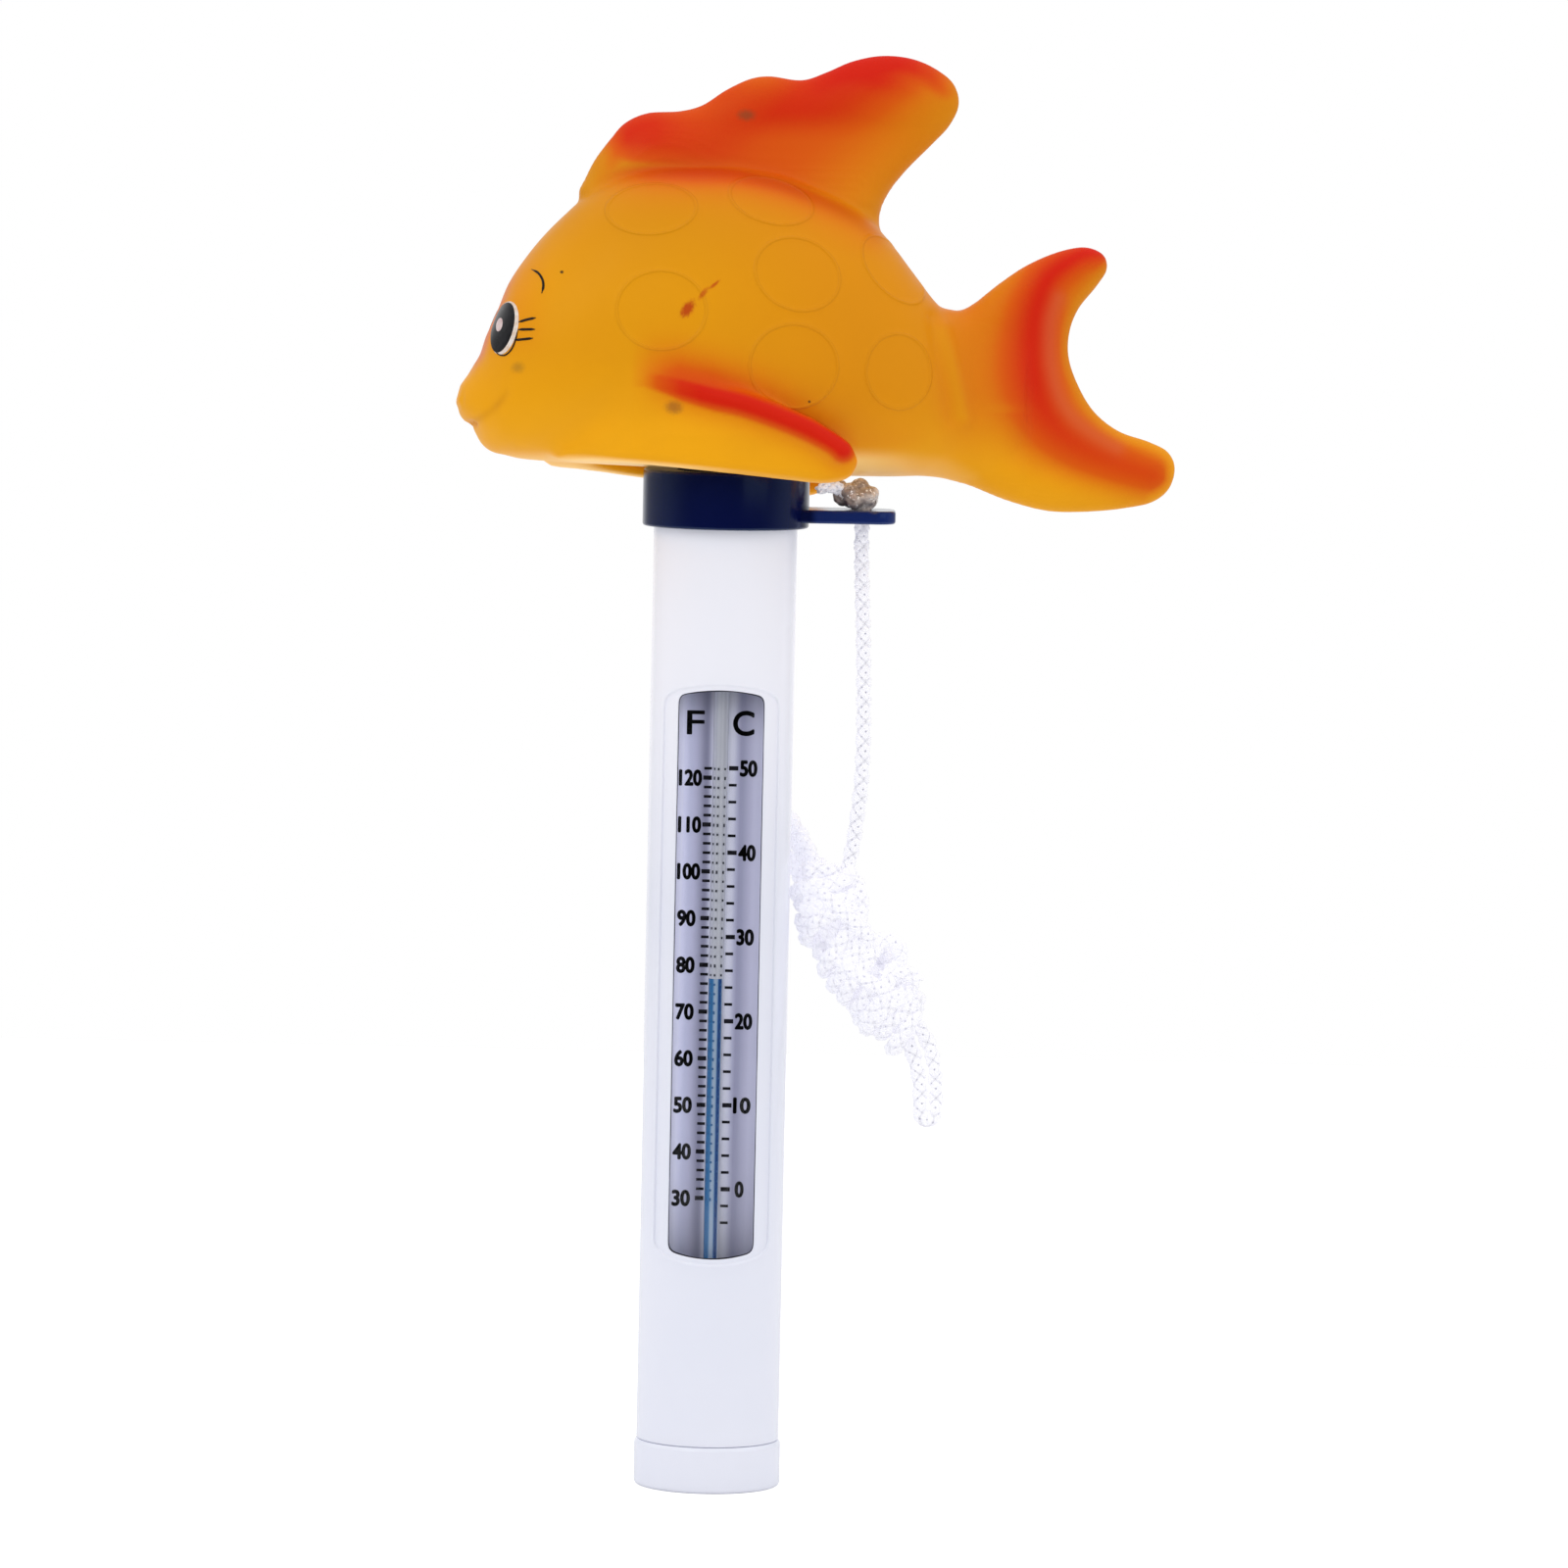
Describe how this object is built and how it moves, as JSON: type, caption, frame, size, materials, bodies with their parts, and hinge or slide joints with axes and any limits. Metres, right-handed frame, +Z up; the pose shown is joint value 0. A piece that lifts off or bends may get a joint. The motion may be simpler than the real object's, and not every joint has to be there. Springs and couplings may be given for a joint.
{
  "type": "floating pool thermometer",
  "caption": "Floating pool thermometer: glass spirit thermometer in a sealed windowed tube under a hollow fish-shaped float, with a tether cord on a side lug.",
  "frame": {"origin": "centre of the end cap's flat bottom face, on the tube axis", "axes": "+Z up the tube axis towards the float, window and scale face -Y, the fish's nose points to -X, the tether lug points to +X"},
  "size_m": [0.1099, 0.0429, 0.2204],
  "materials": {
    "white_plastic": "gloss",
    "clear_plastic": "clear gloss",
    "seal_rubber": "matte",
    "steel": "zinc plated",
    "foam": "matte foam",
    "carrier_plastic": "matte",
    "card": "silver print",
    "stem_glass": "polished",
    "spirit": "liquid",
    "navy_plastic": "gloss",
    "vinyl": "satin vinyl",
    "cord_knot": "melted, gloss",
    "cord": "braided"
  },
  "bodies": {
    "case": {"tube_body": "white_plastic", "window_lens": "clear_plastic", "end_cap": "white_plastic", "end_cap_seal": "seal_rubber", "ballast_weight": "steel", "bulb_pad": "foam", "lower_carrier": "carrier_plastic", "upper_carrier": "carrier_plastic", "scale_card": "card", "capillary_stem": "stem_glass", "glass_bulb": "stem_glass", "stem_clips": "steel", "bulb_spirit": "spirit"},
    "spirit": {"spirit_column": "spirit"},
    "head": {"collar": "navy_plastic", "collar_seal": "seal_rubber", "fish_float": "vinyl", "stopper_knot": "cord_knot"},
    "tether": {"tether_drop": "cord"},
    "hank": {"tether_hank": "cord"},
    "tail": {"tether_tail": "cord"}
  },
  "joints": [
    {"name": "head_turn", "type": "hinge", "parent": "case", "child": "head", "pos_m": [0, 0, 0.1515], "axis": [0, 0, 1], "continuous": true},
    {"name": "spirit_rise", "type": "slide", "parent": "case", "child": "spirit", "axis": [0, 0, 1], "range_m": [-0.0346, 0.0306], "deforming": ["spirit_column"]},
    {"name": "tether_swing", "type": "hinge", "parent": "head", "child": "tether", "pos_m": [0.0209, 0, 0.1456], "axis": [0, -1, 0], "range_deg": [0, 75]},
    {"name": "hank_swing", "type": "hinge", "parent": "tether", "child": "hank", "pos_m": [0.0204, 0.0036, 0.0965], "axis": [0, -1, 0], "range_deg": [0, 45]},
    {"name": "tail_swing", "type": "hinge", "parent": "hank", "child": "tail", "pos_m": [0.0314, 0.0052, 0.0675], "axis": [0, -1, 0], "range_deg": [-15, 60]}
  ]
}
